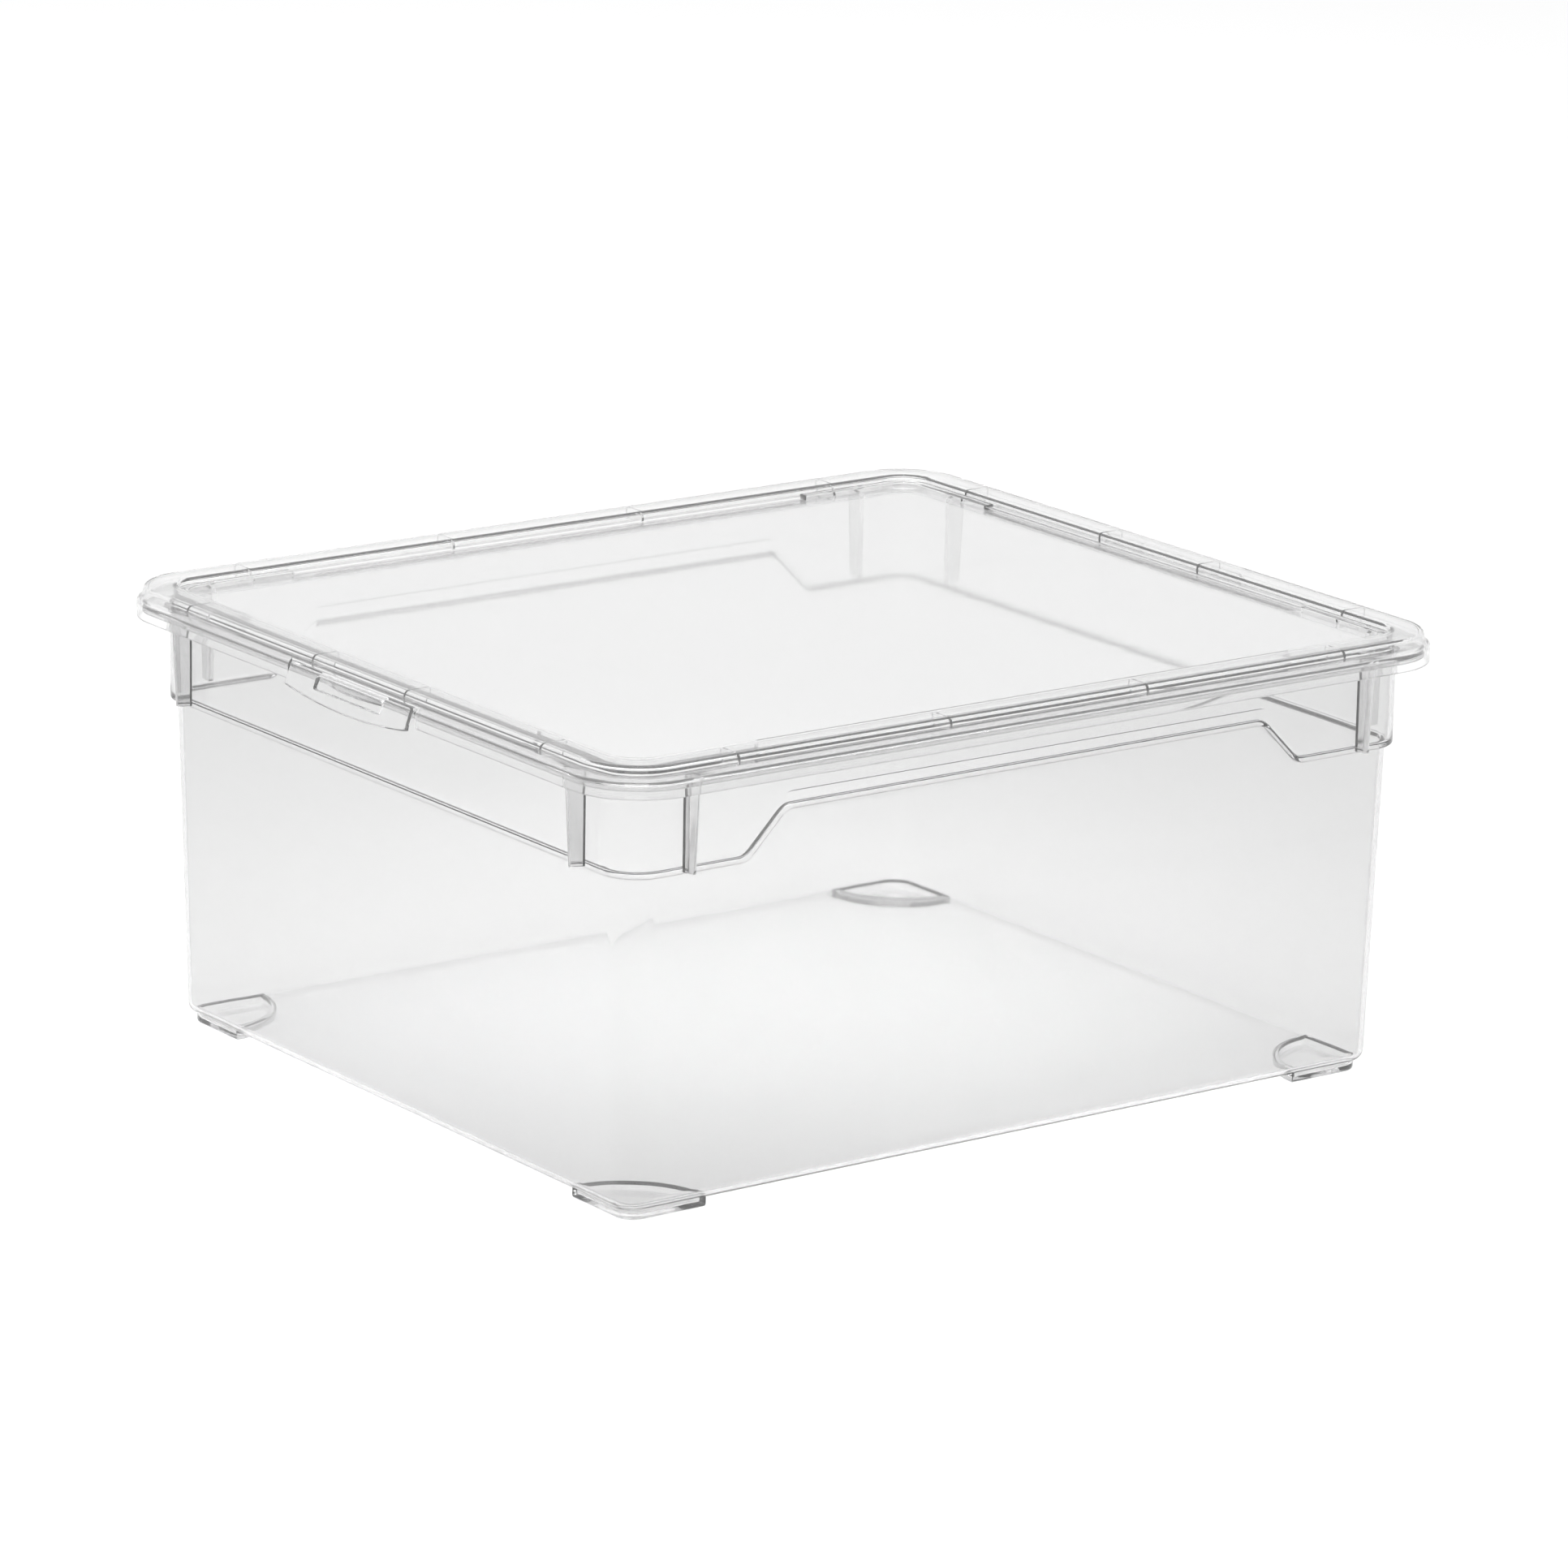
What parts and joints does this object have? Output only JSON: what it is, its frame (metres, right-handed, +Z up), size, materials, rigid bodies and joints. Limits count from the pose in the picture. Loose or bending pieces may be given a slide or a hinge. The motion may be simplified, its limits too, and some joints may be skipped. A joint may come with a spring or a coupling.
{
  "type": "lidded storage box",
  "caption": "Clear moulded storage box for shoes: a drafted tub with a stepped upper band, and a raised-rim lid held by a bending clip at each short end.",
  "frame": {"origin": "on the surface that the box stands on, under the middle of the box", "axes": "+Z up, +X along the box's long side, +Y along its short side; the clips are at the -X and +X ends"},
  "size_m": [0.4094, 0.3548, 0.1809],
  "materials": {
    "tub_polypropylene": "clear moulded polypropylene, gloss, slightly grey",
    "lid_polypropylene": "clear moulded polypropylene, gloss, slightly grey"
  },
  "bodies": {
    "tub": {"tub": "tub_polypropylene"},
    "lid": {"lid": "lid_polypropylene"},
    "clip_left": {"clip_left": "lid_polypropylene"},
    "clip_right": {"clip_right": "lid_polypropylene"}
  },
  "joints": [
    {"name": "lid_lift", "type": "slide", "parent": "tub", "child": "lid", "axis": [0, 0, 1], "range_m": [0, 0.22]},
    {"name": "clip_left_bend", "type": "hinge", "parent": "lid", "child": "clip_left", "pos_m": [-0.1996, 0, 0.1766], "axis": [0, 1, 0], "range_deg": [0, 25], "stiffness_Nm_per_rad": 0.4},
    {"name": "clip_right_bend", "type": "hinge", "parent": "lid", "child": "clip_right", "pos_m": [0.1996, 0, 0.1766], "axis": [0, -1, 0], "range_deg": [0, 25], "stiffness_Nm_per_rad": 0.4}
  ]
}
